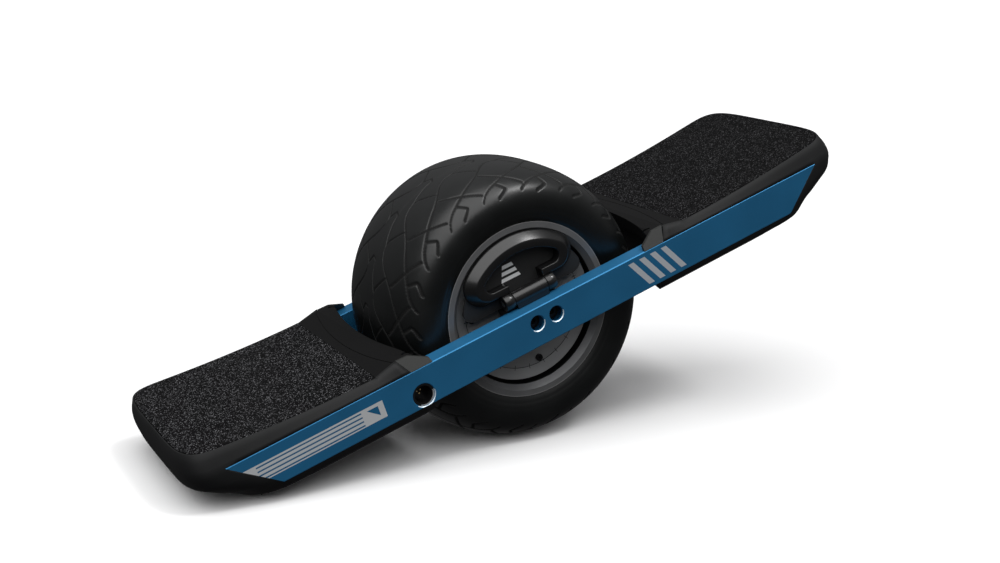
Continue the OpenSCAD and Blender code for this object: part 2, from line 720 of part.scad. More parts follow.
// Half of a tyre section's curve: superellipse from the widest point to the crown
function tyre_arc(hw, wide_r, crown_r, steps) = [for (i = [0 : steps])
    let (a = 90 * i / steps, n = 2.6,
         r = pow(pow(cos(a) / hw, n) + pow(sin(a) / (crown_r - wide_r), n), -1 / n))
    [wide_r + r * sin(a), r * cos(a)]];
function flip(pts) = [for (i = [len(pts) - 1 : -1 : 0]) [pts[i][0], -pts[i][1]]];

module tyre() placed() color("#1c1d1e") turned() {
    outer = tyre_arc(tyre_hw, tyre_wide_r, tyre_r, 14);
    inner = tyre_arc(tyre_hw - 7, tyre_wide_r + 1, tyre_r - tread_t, 10);
    bead_y = rim_y - flange_t - 0.1;
    wall = [[seat_r + 0.1, bead_y], [rim_r + 0.4, bead_y], [rim_r + 0.6, rim_y],
        [rim_r + 6, rim_y + 2.2], [rim_r + 11, rim_y + 3.4]];
    foot = [[rim_r + 1, tyre_hw - 17], [seat_r + 3, tyre_hw - 21], [seat_r + 0.1, tyre_hw - 21]];
    half = concat(wall, outer);
    hollow = concat([foot[2], foot[1], foot[0]], inner);
    polygon(concat(half, flip(half), [for (p = flip(flip(hollow))) [p[0], -p[1]]],
        flip([for (p = flip(flip(hollow))) [p[0], -p[1]]])));
}

function rim_half() = [[seat_r - 6, 0], [seat_r - 6, rim_y - 30], [seat_r, rim_y - 22],
    [seat_r, rim_y - flange_t], [rim_r, rim_y - flange_t], [rim_r, rim_y], [rim_r - 6.5, rim_y],
    [rim_r - 12, rim_y - 6], [rim_r - 12, rim_y - 17], [rim_r - 15, rim_y - 17],
    [rim_r - 15, dish_y], [cover_r + 0.3, hub_y], [cover_r + 0.3, hub_y - cover_t],
    [cover_r - 1.6, hub_y - cover_t], [cover_r - 1.6, hub_y - cover_t - 5],
    [can_r, hub_y - cover_t - 8], [can_r, 0]];
module rim() placed() color("#4a4b4d") difference() {
    turned() {
        h = rim_half();
        polygon(concat(h, [for (i = [len(h) - 2 : -1 : 1]) [h[i][0], -h[i][1]]]));
    }
    valve_at() cylinder(r = 4.2, h = 30);
}
// The valve slants from the tyre's inside out through the dish
module valve_at() {
    rotate([0, -60, 0]) translate([0, hub_y + 5, rim_r - 22.5]) rotate([45, 0, 0]) children();
}

module rotor_magnets() placed() color("#8f9296") for (i = [0 : 27]) rotate([0, i * 360 / 28, 0])
    intersection() {
        y_ring(can_r - 0.02, magnet_in, -stator_hw, 2 * stator_hw);
        block([0, -40, -6.6], [100, 40, 6.6]);
    }

module hub_cover() difference() {
    union() {
        y_cyl(cover_r, hub_y - cover_t, cover_t);
        y_cyl(bearing_or + 6, bearing_y - 1, hub_y - bearing_y + 3);
    }
    y_cyl(bearing_or, bearing_y - 2, bearing_w + 2);
    y_cyl(axle_r + 4, 0, 90);
    for (i = [0 : cover_screw_n - 1]) rotate([0, 90 + i * 360 / cover_screw_n, 0])
        translate([cover_screw_r, 0, 0]) y_cyl(1.7, hub_y - 10, 20);
}
module left_hub_cover() placed() color("#3c3d40") mirror([0, 1, 0]) hub_cover();
module right_hub_cover() placed() color("#3c3d40") hub_cover();
module hub_cover_screws() placed() color("#161617") both_sides()
    for (i = [0 : cover_screw_n - 1]) rotate([0, 90 + i * 360 / cover_screw_n, 0])
        translate([cover_screw_r, 0, 0]) difference() {
            union() {
                y_cyl(1.6, hub_y - cover_t + 0.2, cover_t);
                y_cyl(3.8, hub_y, 2.4);
            }
            translate([0, hub_y + 1, 0]) rotate([-90, 0, 0]) cylinder(r = 1.7, h = 3, $fn = 6);
        }
module wheel_bearings() placed() color("#c4c7cb") both_sides() {
    y_ring(bearing_or - 0.01, bearing_or - 2, bearing_y, bearing_w);
    y_ring(axle_r + 2.5, axle_r + axle_fit, bearing_y, bearing_w);
    for (i = [0 : 9]) rotate([0, i * 36, 0])
        translate([(bearing_or + axle_r + 0.5) / 2, bearing_y + bearing_w / 2, 0])
            sphere(r = 1.9, $fn = 24);
}
module shaft_seals() placed() color("#5b3424") both_sides()
    y_ring(axle_r + 3.9, axle_r + axle_fit, bearing_y + bearing_w + 0.2, 3.4);
module valve_stem() placed() color("#b08d4a") valve_at() difference() {
    translate([0, 0, -4]) cylinder(r = 4, h = 22);
    translate([0, 0, -5]) cylinder(r = 1.5, h = 40);
}
module valve_cap() placed() color("#1b1b1c") valve_at() translate([0, 0, -9.2])
    cylinder(r = 4.6, h = 5);

// ---- nodes ----

left_rail();
right_rail();
front_bumper();
rear_bumper();
front_footpad();
rear_footpad();
front_grip();
rear_grip();
foot_sensor();
front_wheel_trim();
rear_wheel_trim();
front_corner_clips();
rear_corner_clips();
battery_box();
battery_lid();
battery_cells();
battery_board();
controller_box();
controller_lid();
controller_board();
power_stage();
left_axle_block();
right_axle_block();
axle();
stator_core();
stator_windings();
axle_bolts();
motor_cable();
charge_socket();
charge_pins();
charge_cable();
button_bezel();
power_button();
button_spring();
front_light_lens();
rear_light_lens();
front_light_board();
rear_light_board();
skid_screws();
lid_screws();
handle_hinge_block();
handle_hinge_pin();
handle_back_plate();
plate_magnets();
plate_screws();
carry_handle();
handle_magnets();
tyre();
rim();
rotor_magnets();
left_hub_cover();
right_hub_cover();
hub_cover_screws();
wheel_bearings();
shaft_seals();
valve_stem();
valve_cap();
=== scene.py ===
"""Looks of a single-wheel self-balancing electric board that rests on its nose.

The board is worked out level, as it was drawn: x runs from the axle to the raised tail, y to the
right-hand rail and z up from the axle.  on_board() then tips it onto its nose.  Metres throughout.
"""
import json
import math

import bpy
import numpy as np
from mathutils import Matrix, Vector


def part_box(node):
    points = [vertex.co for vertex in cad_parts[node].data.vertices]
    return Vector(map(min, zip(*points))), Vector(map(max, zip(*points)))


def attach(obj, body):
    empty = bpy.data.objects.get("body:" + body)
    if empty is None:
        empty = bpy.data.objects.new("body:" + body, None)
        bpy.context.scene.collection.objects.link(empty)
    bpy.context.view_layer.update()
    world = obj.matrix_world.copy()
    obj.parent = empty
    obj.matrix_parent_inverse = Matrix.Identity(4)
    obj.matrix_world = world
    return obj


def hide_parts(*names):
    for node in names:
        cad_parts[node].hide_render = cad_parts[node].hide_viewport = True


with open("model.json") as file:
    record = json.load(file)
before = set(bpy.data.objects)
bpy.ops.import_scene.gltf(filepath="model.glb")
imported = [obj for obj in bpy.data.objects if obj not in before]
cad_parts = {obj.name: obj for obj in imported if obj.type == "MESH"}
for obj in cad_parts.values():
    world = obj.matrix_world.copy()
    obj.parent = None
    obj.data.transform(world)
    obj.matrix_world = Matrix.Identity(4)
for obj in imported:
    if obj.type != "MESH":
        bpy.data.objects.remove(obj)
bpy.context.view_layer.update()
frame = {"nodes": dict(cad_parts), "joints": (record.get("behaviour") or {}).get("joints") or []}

nodes = frame["nodes"]
joints = {joint["name"]: joint for joint in frame["joints"]}
mm = 0.001

# ---- Camera, light and floor ----
# A studio table: a short telephoto lens looks down a little on the left rail and the nose, a broad
# soft lamp hangs above and to the left, and the floor is plain white.  The camera is set in the
# board's level frame, so that it sees the same board however far it tips onto its nose.

axle_height = joints["wheel_spin"]["pos_m"][2]
swing = joints["handle_swing"]["axis"]
tilt = math.atan2(swing[2], swing[0])
tip_over = Matrix.Translation((0, 0, axle_height)) @ Matrix.Rotation(-tilt, 4, "Y")
look = Vector((0.35189, 0.8540, -0.38316)).normalized()
to_the_right = Vector((0.83574, -0.4713, -0.28189)).normalized()
turned = Matrix((to_the_right, to_the_right.cross(look), -look)).transposed().to_4x4()
camera_data = bpy.data.cameras.new("camera")
camera_data.lens, camera_data.sensor_width = 51.0, 36.0
camera = bpy.data.objects.new("camera", camera_data)
camera.matrix_world = tip_over @ Matrix.Translation((-0.52609, -1.30366, 0.59257)) @ turned
bpy.context.collection.objects.link(camera)
bpy.context.scene.camera = camera
bpy.context.scene.view_settings.view_transform = "Standard"


def lamp(name, kind, power, place, aim, **settings):
    """A lamp of that kind and power at place, turned to aim."""
    data = bpy.data.lights.new(name, kind)
    data.energy = power
    for key, value in settings.items():
        setattr(data, key, value)
    made = bpy.data.objects.new(name, data)
    made.location = place
    made.rotation_euler = (Vector(aim) - Vector(place)).to_track_quat("-Z", "Y").to_euler()
    bpy.context.collection.objects.link(made)
    return made


lamp("sky_panel", "SUN", 2.7, (-0.9, -1.05, 2.67), (0, 0, 0), angle=math.radians(80))
lamp("small_softbox", "SUN", 0.8, (1.1, -0.93, 2.6), (0, 0, 0), angle=math.radians(14))


class Wire:
    """A socket in a node tree.  Arithmetic on it adds Math nodes, and node() adds any other."""

    def __init__(self, tree, socket=None):
        self.tree, self.socket = tree, socket

    def node(self, kind, inputs=(), output=0, **settings):
        """Adds a shader node: its settings first, then the values or wires of its inputs."""
        made = self.tree.nodes.new("ShaderNode" + kind)
        for key, value in settings.items():
            setattr(made, key, value)
        for key, value in dict(inputs).items():
            if isinstance(value, Wire):
                self.tree.links.new(value.socket, made.inputs[key])
            else:
                made.inputs[key].default_value = value
        return Wire(self.tree, made.outputs[output])

    def maths(self, operation, *others):
        """A Math node on this value and any others."""
        return self.node("Math", dict(enumerate((self, *others))), operation=operation)

    def __add__(self, other):
        return self.maths("ADD", other)

    def __sub__(self, other):
        return self.maths("SUBTRACT", other)

    def __rsub__(self, other):
        return self.node("Math", {0: other, 1: self}, operation="SUBTRACT")

    def __mul__(self, other):
        return self.maths("MULTIPLY", other)

    def __truediv__(self, other):
        return self.maths("DIVIDE", other)

    def __lt__(self, other):
        return self.maths("LESS_THAN", other)

    def __gt__(self, other):
        return self.maths("GREATER_THAN", other)

    __radd__ = __add__
    __rmul__ = __mul__

    def above(self, low, high):
        """0 below low, 1 above high, and a straight rise between."""
        return self.node("MapRange", {0: self, 1: low, 2: high, 3: 0.0, 4: 1.0})

    def blend(self, first, second):
        """A colour that goes from first to second as this value goes from 0 to 1."""
        return self.node("Mix", {0: self, 6: colour(first), 7: colour(second)}, 2,
                         data_type="RGBA")


def colour(value):
    """A colour as four numbers, or a wire as it is."""
    return value if isinstance(value, Wire) else (*value[:3], 1.0)


def place(tree):
    """Object coordinates of the piece, as a vector wire."""
    return Wire(tree).node("TexCoord", output=3)


def axes(tree):
    """The three object coordinates as wires."""
    vector = place(tree)
    return [vector.node("SeparateXYZ", {0: vector}, output) for output in range(3)]


def grain(tree, size, detail=2.0, rough=0.5, stretch=(1, 1, 1)):
    """Noise between 0 and 1 whose features are about size across, stretched along an axis."""
    vector = place(tree)
    scaled = vector.node("Mapping", {0: vector, 3: tuple(1 / s for s in stretch)})
    return scaled.node("TexNoise", {"Vector": scaled, "Scale": 1 / size, "Detail": detail,
                                    "Roughness": rough})


def distance(first, second):
    """Length of the step whose two parts are wires."""
    return (first * first + second * second).maths("SQRT")


def material(name, paint, base, roughness=0.5, **sockets):
    """A Principled material.  paint(tree) returns a dict of what varies over the surface: base,
    roughness or height (in metres).  Everything else is one value for the piece."""
    made = bpy.data.materials.new(name)
    made.use_nodes = True
    tree = made.node_tree
    shader = tree.nodes["Principled BSDF"]
    shader.inputs["Base Color"].default_value = colour(base)
    shader.inputs["Roughness"].default_value = roughness
    for key, value in sockets.items():
        shader.inputs[key.replace("_", " ")].default_value = value
    varies = paint(tree) if paint else {}
    for key, socket in (("base", "Base Color"), ("roughness", "Roughness")):
        if key in varies:
            tree.links.new(varies[key].socket, shader.inputs[socket])
    if "height" in varies:
        bump = varies["height"].node("Bump", {"Height": varies["height"], "Distance": 1.0})
        tree.links.new(bump.socket, shader.inputs["Normal"])
    return made


def coat_with(finish, *names):
    """Gives CAD nodes a finish."""
    for name in names:
        mesh = nodes[name].data
        mesh.materials.clear()
        mesh.materials.append(finish)


floor_side = 30
corners = np.array([[-1, -1, 0], [1, -1, 0], [1, 1, 0], [-1, 1, 0]]) * floor_side / 2
floor_mesh = bpy.data.meshes.new("floor")
floor_mesh.from_pydata(corners.tolist(), [], [(0, 1, 2, 3)])
floor = bpy.data.objects.new("floor", floor_mesh)
bpy.context.collection.objects.link(floor)
floor_mesh.materials.append(material("studio_floor", None, (0.95, 0.95, 0.95), 0.9,
                                     Specular_IOR_Level=0.1))
floor.visible_diffuse = floor.visible_glossy = False

world = bpy.data.worlds.new("studio")
bpy.context.scene.world = world
world.use_nodes = True
sky = world.node_tree
backdrop = sky.nodes["Background"]
up = Wire(sky).node("TexCoord", output=0)
height_of_view = up.node("SeparateXYZ", {0: up}, 2)
dome = height_of_view.above(-0.2, 1.0).blend((0.06, 0.06, 0.062), (0.38, 0.38, 0.385))
sky.links.new(dome.socket, backdrop.inputs["Color"])
backdrop.inputs["Strength"].default_value = 1.0

# ---- The board's own frame ----
# The axle's height and the board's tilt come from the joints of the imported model, and the sizes of
# the rails and the tyre from their nodes.

ct, st = math.cos(tilt), math.sin(tilt)


def on_board(points):
    """Level points (..., 3) tipped onto the nose: turned by the tilt about y and lifted by the
    axle's height."""
    x, y, z = np.moveaxis(np.asarray(points, float), -1, 0)
    return np.stack([x * ct - z * st, y, axle_height + x * st + z * ct], -1)


def level_box(name):
    """Lowest and highest corners of a CAD node in the level frame."""
    mesh = nodes[name].data
    flat = np.empty(3 * len(mesh.vertices))
    mesh.vertices.foreach_get("co", flat)
    x, y, z = flat.reshape(-1, 3).T
    z = z - axle_height
    level = np.stack([x * ct + z * st, y, z * ct - x * st], -1)
    return level.min(0), level.max(0)


def level_axes(tree):
    """Object coordinates turned into the board's level frame, as wires."""
    x, y, z = axes(tree)
    lifted = z - axle_height
    return x * ct + lifted * st, y, lifted * ct - x * st


def grid_mesh(name, points, closed_u=False, closed_v=False, flip=False, keep=None, values=None,
              caps=False):
    """A mesh over a grid of points (rows, columns, 3); closed_u joins the last column to the first,
    closed_v the last row to the first.  keep marks the quads that stay, values is an attribute per
    point, and caps closes the first and last columns with one face each."""
    rows, columns = points.shape[:2]
    index = np.arange(rows * columns).reshape(rows, columns)
    first, last = index[:, 0], index[:, -1]
    if closed_u:
        index = np.concatenate([index, index[:, :1]], 1)
    if closed_v:
        index = np.concatenate([index, index[:1]], 0)
    quads = np.stack([index[:-1, :-1], index[:-1, 1:], index[1:, 1:], index[1:, :-1]], -1)
    quads = quads.reshape(-1, 4) if keep is None else quads[keep]
    if flip:
        quads = quads[:, ::-1]
    used, quads = np.unique(quads, return_inverse=True)
    loops, sizes = quads.reshape(-1), np.full(quads.size // 4, 4)
    if caps:
        ends = (first, last[::-1]) if flip else (first[::-1], last)
        loops = np.concatenate([loops, *ends])
        sizes = np.concatenate([sizes, [rows, rows]])
    mesh = bpy.data.meshes.new(name)
    mesh.vertices.add(len(used))
    mesh.vertices.foreach_set("co", points.reshape(-1, 3)[used].reshape(-1))
    mesh.loops.add(len(loops))
    mesh.loops.foreach_set("vertex_index", loops)
    mesh.polygons.add(len(sizes))
    mesh.polygons.foreach_set("loop_start", np.cumsum(sizes) - sizes)
    mesh.polygons.foreach_set("loop_total", sizes)
    mesh.update(calc_edges=True)
    mesh.polygons.foreach_set("use_smooth", np.ones(len(sizes), bool))
    if values is not None:
        layer = mesh.attributes.new("depth", "FLOAT", "POINT")
        layer.data.foreach_set("value", values.reshape(-1)[used])
    return mesh


def piece(name, mesh, finish, body, slot_name, *replaced):
    """A finished piece: its mesh and finish, the body it rides on, its slot, which is not used, and
    the
    CAD nodes that it stands for."""
    made = bpy.data.objects.new(name, mesh)
    bpy.context.collection.objects.link(made)
    if not mesh.materials:
        mesh.materials.append(finish)
    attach(made, body)
    if replaced:
        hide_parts(*replaced)
    return made


# ---- Rails ----
# Two box extrusions of anodised aluminium, cut on a slant at both ends.  A painted highlight, near
# white, lies along their outer top edges and on the lower rims of the left rail's bores.

rail_low, rail_high = level_box("right_rail")
rail_out, rail_bottom, rail_top = rail_high[1], rail_low[2], rail_high[2]
rail_blue = (0.022, 0.160, 0.332)
highlight_colour = (0.8, 0.92, 1.0)
label_grey = (0.85, 0.86, 0.86)
edge, rim_shine = 0.7 * mm, 0.8 * mm
bolt_x, bolt_z, bolt_hole = (-10.45 * mm, 12.45 * mm), -1 * mm, 8 * mm
socket_x, socket_z, socket_hole = -148.3 * mm, -13 * mm, 11.8 * mm


def stripes(along, across, pitch, share, low, high):
    """1 on bars that repeat along a direction, between two heights of across."""
    return ((along / pitch).maths("FRACT") < share) * (across > low) * (across < high)


def anodised(tree):
    """Blue dye over brushed metal: a painted highlight on the outer top edges and on the lower rims
    of the left rail's bores, a printed label with plain stripes near the nose and slanted bars near
    the tail."""
    x, y, z = level_axes(tree)
    near_corner = y.maths("ABSOLUTE") + z
    # Painted highlight: a near-white line along the outer top edge, where the bevel faces the lamp.
    painted_highlight = (near_corner > rail_out + rail_top - edge) * (z < rail_top - 0.05 * mm)
    on_left = y < -rail_out + 0.3 * mm
    for cx, cz, hole in ((bolt_x[0], bolt_z, bolt_hole), (bolt_x[1], bolt_z, bolt_hole),
                         (socket_x, socket_z, socket_hole)):
        dx, dz = x - cx, z - cz
        radius = distance(dx, dz)
        # Painted highlight on the lower side of each bore's rim only, where its chamfer faces up.
        ring = (radius > hole) * (radius < hole + rim_shine) * (dz - dx * 0.4 < -0.35 * hole)
        painted_highlight = painted_highlight.maths("MAXIMUM", ring * (y < 0))
    slant = x + z * 1.16
    label = (slant > -335 * mm) * (x < -190 * mm) * (z > -14.5 * mm) * (z < 3.5 * mm) * on_left
    lines = stripes(z, x, 4.4 * mm, 0.34, -326 * mm, -214 * mm) * label
    block = (slant > -208 * mm) * (x < -196 * mm) * (z > -11 * mm) * (z < 0) * label
    tilted = x + z * 0.6
    bars = stripes(tilted, z, 14 * mm, 0.5, rail_bottom + 5 * mm, rail_top - 5 * mm)
    bars = bars * (tilted > 112 * mm) * (tilted < 168 * mm) * on_left
    brushed = grain(tree, 0.25 * mm, 3.0, 0.6, (40, 1, 1))
    tint = grain(tree, 60 * mm, 2.0).above(0.35, 0.65)
    dye = tint.blend(rail_blue, tuple(1.12 * c for c in rail_blue))
    dye = (label * 0.9).blend(dye, label_grey)
    dye = lines.maths("MAXIMUM", block).blend(dye, rail_blue)
    dye = (bars * 0.75).blend(dye, label_grey)
    return {"base": painted_highlight.blend(dye, highlight_colour), "roughness": 0.36 + brushed * 0.14,
            "height": brushed * 0.004 * mm}


coat_with(material("rail_anodised_blue", anodised, rail_blue, 0.38, Metallic=0.45,
                   Specular_IOR_Level=0.3), "left_rail", "right_rail")


# ---- Deck ends ----
# Each end is one moulded bumper, hard black plastic with a fine spark-eroded texture.  A narrow rim
# runs round the footpad, a strip leans down to the rail, and a skid closes the underside.

nose_length, deck_half = 60 * mm, rail_out - 6.5 * mm
squareness = 5.5
well_x, well_radius = 156 * mm, 390 * mm
grip_x, clip_x, clip_slant = 186 * mm, 161.3 * mm, 8 * mm
deck_z0, kick_height, lip_height = 24 * mm, 14 * mm, 5 * mm
lean, rail_depth = 46.7 * mm, rail_top - rail_bottom
rim_width, strip_width = 1.6 * mm, 5.8 * mm
wall_thickness, edge_round = 2.4 * mm, 4 * mm
side_steps = 17
reaches = {"front": -rail_low[0], "rear": rail_high[0]}
signs = {"front": -1, "rear": 1}
bumper_levels = np.array([
    # share of the deck's rise, depth below the rail's top, reach past its tip, step in, length of
    # the rounded end, squareness of the rounded end
    [1, 0, 32.3, 6.5, 60, 5.5], [0.42, 0, 37.3, 2.73, 60, 5.5], [0, 0, 38, 0, 60, 5.5],
    [0, 15.2, 37, 0, 70, 4.8], [0, 34.8, 22, 0, 80, 2.75], [0, 41, 12, 1.2, 75, 2.75],
    [0, 49.2, -1, 5.5, 62, 2.95], [0, 55.7, -31, 16.5, 60, 2.95]]) * (1, mm, mm, mm, mm, 1)


def deck_height(x, tip):
    """Level beside the wheel, then a kick that grows with the 1.8th power towards the tip."""
    rise = kick_height * (np.clip(x - grip_x, 0, None) / (tip - grip_x)) ** 1.8
    lip = lip_height * np.clip((grip_x - x) / (grip_x - clip_x), 0, 1)
    return deck_z0 + rise + lip


def half_width(x, tip, half, length, power):
    """The full half width up to the rounded end, then half (1 - u^n)^(1/n), u the share of its
    length."""
    u = np.clip((x - tip + length) / length, 0, 1)
    return half * (1 - u ** power) ** (1 / power)


def end_outline(tip, half, start, split, length, power):
    """Half outline seen from above: steps along the side from start to split, one at the trim's
    edge, then even steps of arc round the superellipse to the middle of the tip."""
    side = np.concatenate([np.linspace(start, grip_x - 0.05 * mm, 5),
                           np.linspace(grip_x + 0.05 * mm, split, side_steps - 5, endpoint=False)])
    angle = np.linspace(math.pi / 2, 0, 600)
    c, s = np.cos(angle), np.sin(angle)
    radius = ((c / length) ** power + (s / half) ** power) ** (-1 / power)
    curve = np.stack([tip - length + radius * c, radius * s])
    curve = curve[:, curve[0] > split]
    first = [[split], [half_width(split, tip, half, length, power)]]
    curve = np.concatenate([first, curve], 1)
    run = np.concatenate([[0], np.cumsum(np.hypot(*np.diff(curve)))])
    even = np.linspace(0, run[-1], 70)
    x = np.concatenate([side, np.interp(even, run, curve[0])])
    y = np.concatenate([half_width(side, tip, half, length, power), np.interp(even, run, curve[1])])
    return x, y


def rounded(levels, soft):
    """The levels with two rows beside each inner one, so that its crease is a small round."""
    rows = [levels[0]]
    for before, here, after in zip(levels[:-2], levels[1:-1], levels[2:]):
        near = []
        for other in (before, after):
            rise = abs(other[0] - here[0]) * 9 * mm
            way = np.linalg.norm((other - here)[1:4]) + rise
            near.append(here + (other - here) * min(0.45, soft / way))
        rows += [near[0], 0.5 * here + 0.25 * (near[0] + near[1]), near[1]]
    return np.array(rows + [levels[-1]])


def bumper_skin(reach):
    """Rows of half outlines from the rim beside the footpad down the outer form and in under the
    skid to the middle; returns points (rows, columns, 3) and the depth of each row."""
    deck_tip = reach + bumper_levels[0][2]
    last = bumper_levels[-1]
    rim_profile = ((1, 6 * mm), (1, 0.5 * mm), (0.7, 0.1 * mm), (0.35, 0), (0.05, 0.4 * mm))
    lines = [(bumper_levels[0] + np.array([0, 0, -inset, inset, 0, 0]) * rim_width, drop, inset, 1)
             for inset, drop in rim_profile]
    lines += [(level, 0, 0, 1) for level in rounded(bumper_levels, edge_round)[1:]]
    lines += [(last, 0, 0, inwards) for inwards in (0.97, 0.8, 0.6, 0.4, 0.2, 0.0)]
    rows, depths = [], []
    for (share, depth, past, step, length, power), drop, inset, inwards in lines:
        tip, half = reach + past, rail_out - step
        over_rail, crease = depth < 2 * mm, 0 < depth < 2 * mm
        share_here, depth_here = (0, 0) if crease else (share, depth)
        split = reach - lean * np.clip(depth_here / rail_depth, 0, 1)
        start = clip_x - clip_slant * (1 - share_here)
        if not over_rail:
            start = well_x - well_radius + math.sqrt(well_radius ** 2 - (half * inwards) ** 2)
        x, y = end_outline(tip, half, start, split, length, power)
        y = y * inwards - (x < grip_x) * inset * (strip_width - rim_width)
        z = rail_top - depth + share * (deck_height(x, deck_tip) - rail_top) - drop
        if crease:
            strip = slice(0, side_steps + 1)
            z[strip] = rail_top - 0.45 * mm
            y[strip] = half_width(x[strip], tip, rail_out, length, power) - 0.4 * mm
        rows.append(np.stack([x, y, z], -1))
        depths.append(depth_here if inwards == 1 else 1.0)
    return np.array(rows), np.array(depths)


def bumper_mesh(name, end):
    """Both halves of the skin, the columns beside the rail left out between its top and bottom, and
    a window left open in the end face in front of the lamp."""
    half, depths = bumper_skin(reaches[end])
    full = np.concatenate([half, half[:, -2::-1] * (1, -1, 1)], 1) * (signs[end], 1, 1)
    gone = (depths[1:] > depths[:-1]) & (depths[1:] <= rail_depth + 0.3 * mm)
    near_rail = np.zeros(full.shape[1] - 1, bool)
    near_rail[:side_steps] = near_rail[-side_steps:] = True
    keep = ~(gone[:, None] & near_rail)
    lamp_low, lamp_high = level_box(end + "_light_lens")
    beside_lamp = np.abs(full[:-1, :, 1]) < lamp_high[1]
    level_with_lamp = ((depths[:-1] > rail_top - lamp_high[2] - 1 * mm)
                       & (depths[1:] < rail_top - lamp_low[2]))
    keep &= ~(level_with_lamp[:, None] & beside_lamp[:, 1:] & beside_lamp[:, :-1])
    return grid_mesh(name, on_board(full), flip=signs[end] < 0, keep=keep)


def moulded(tree):
    texture = grain(tree, 0.9 * mm, 4.0, 0.65)
    cloud = grain(tree, 40 * mm, 2.0)
    return {"roughness": 0.48 + cloud * 0.14, "height": texture * 0.03 * mm,
            "base": cloud.above(0.3, 0.7).blend((0.0095, 0.0098, 0.0102), (0.0125, 0.0128, 0.0132))}


bumper_plastic = material("bumper_plastic", moulded, (0.011, 0.0112, 0.0115), 0.5,
                          Specular_IOR_Level=0.2)
for end in reaches:
    shell = piece(end + "_bumper_form", bumper_mesh(end + "_bumper_form", end), bumper_plastic,
                  "board", "bumper_plastic", end + "_bumper")
    wall = shell.modifiers.new("wall", "SOLIDIFY")
    wall.thickness, wall.offset = wall_thickness, -1
coat_with(bumper_plastic, "front_footpad", "rear_footpad")


def soft_black(tree):
    """Soft-touch plastic, a shade blacker than the bumpers."""
    fine = grain(tree, 0.7 * mm, 3.0)
    cloud = grain(tree, 35 * mm, 2.0)
    return {"base": cloud.blend((0.0035, 0.0035, 0.0037), (0.005, 0.005, 0.0052)),
            "roughness": 0.6 + cloud * 0.1, "height": fine * 0.02 * mm}


coat_with(material("trim_plastic", soft_black, (0.004, 0.004, 0.004), 0.65,
                   Specular_IOR_Level=0.12), "front_wheel_trim", "rear_wheel_trim")


def clip_painted_sheen(tree):
    """Grey plastic with a painted sheen: its base is lighter where the surface faces up, along the
    bevel at its upper edge.
    """
    fine = grain(tree, 0.6 * mm, 3.0)
    facing = Wire(tree).node("NewGeometry", output=1)
    up = facing.node("SeparateXYZ", {0: facing}, 2)
    # Painted sheen: the base colour rises with how far the surface faces up.
    return {"base": up.above(0.5, 0.95).blend((0.018, 0.019, 0.018), (0.022, 0.023, 0.022)),
            "roughness": 0.4 + fine * 0.1}


coat_with(material("clip_plastic", clip_painted_sheen, (0.02, 0.02, 0.02), 0.45,
                   Specular_IOR_Level=0.3), "front_corner_clips",
          "rear_corner_clips")


# ---- Grip sheets ----
# Abrasive sheet glued on the footpads: black grit in resin, each grain a fraction of a millimetre,
# a few of them painted light as glints.  The front sheet is painted lighter than the rear one, as
# painted light.

sheet_inset, sheet_thickness, grain_height = 1.9 * mm, 1.0 * mm, 0.45 * mm
stations = 150


def grip_mesh(name, end, seed):
    """The deck's surface on a grid of stations by shares of the half width, each point raised by a
    random grain height; the border columns turn down to the glued underside, flat from side to
    side, and a wall closes each end."""
    tip = reaches[end] + bumper_levels[0][2]
    angle = np.radians(90 - 89.9 * np.linspace(0, 1, 60) ** 0.8)
    c, s = np.cos(angle), np.sin(angle)
    half = deck_half - sheet_inset
    radius = ((c / nose_length) ** squareness + (s / half) ** squareness) ** (-1 / squareness)
    end_x = tip - sheet_inset - nose_length
    x = np.concatenate([np.linspace(grip_x, end_x, stations, endpoint=False), end_x + radius * c])
    edge_y = np.concatenate([np.full(stations, half), radius * s])
    share = np.linspace(-1, 1, 215)
    height = deck_height(x, tip)[:, None]
    random = np.random.default_rng(seed)
    raised = height + random.random((len(x), len(share))) ** 3 * grain_height
    raised[:, [0, -1]] = height - sheet_thickness
    points = np.stack(np.broadcast_arrays(x[:, None], edge_y[:, None] * share, raised), -1)
    points = np.swapaxes(points * (signs[end], 1, 1), 0, 1)
    return grid_mesh(name, on_board(points), closed_v=True, flip=signs[end] < 0, caps=True)


def grit(dark, light):
    """Black grit, and one grain in nine painted light as a glint."""
    def paint(tree):
        fine = grain(tree, 0.8 * mm, 3.0, 0.7)
        where = place(tree)
        cells = where.node("TexVoronoi", {"Vector": where, "Scale": 1 / (0.8 * mm)}, 1)
        lucky = cells.node("SeparateColor", {0: cells}, 0)
        # Painted glints: about one grain in nine gets a light base colour, as if catching the lamp.
        spark = lucky.above(0.84, 0.98)
        patch = grain(tree, 14 * mm, 3.0).above(0.3, 0.75)
        # Soft patches of two close tones; dark is higher for the front sheet than the rear, as
        # painted light.
        patches_and_painted_light = patch.blend((dark, dark, 1.1 * dark), (1.6 * dark, 1.6 * dark, 1.8 * dark))
        return {"base": spark.blend(patches_and_painted_light, (light, light, 1.05 * light)),
                "height": fine * 0.4 * mm, "roughness": 0.85 - spark * 0.3}
    return paint


# Painted light: the front sheet's tones and glints are lighter than the rear's, standing in for the
# front deck being more brightly lit.
for seed, (end, dark, light) in enumerate((("front", 0.0022, 0.15), ("rear", 0.0018, 0.075))):
    grip_sheet = material(end + "_grip_sheet", grit(dark, light), (dark, dark, dark), 0.8,
                          Specular_IOR_Level=0.08)
    piece(end + "_grip_sheet", grip_mesh(end + "_grip_sheet", end, seed), grip_sheet, "board",
          "grip_sheet", end + "_grip")


# ---- Tyre ----
# A wide pneumatic tyre with a rounded section.  Long curved grooves sweep from the middle of the
# tread out over both shoulders, short cross grooves join them into lozenges, and a hooked sipe
# sits between each pair on the shoulder.

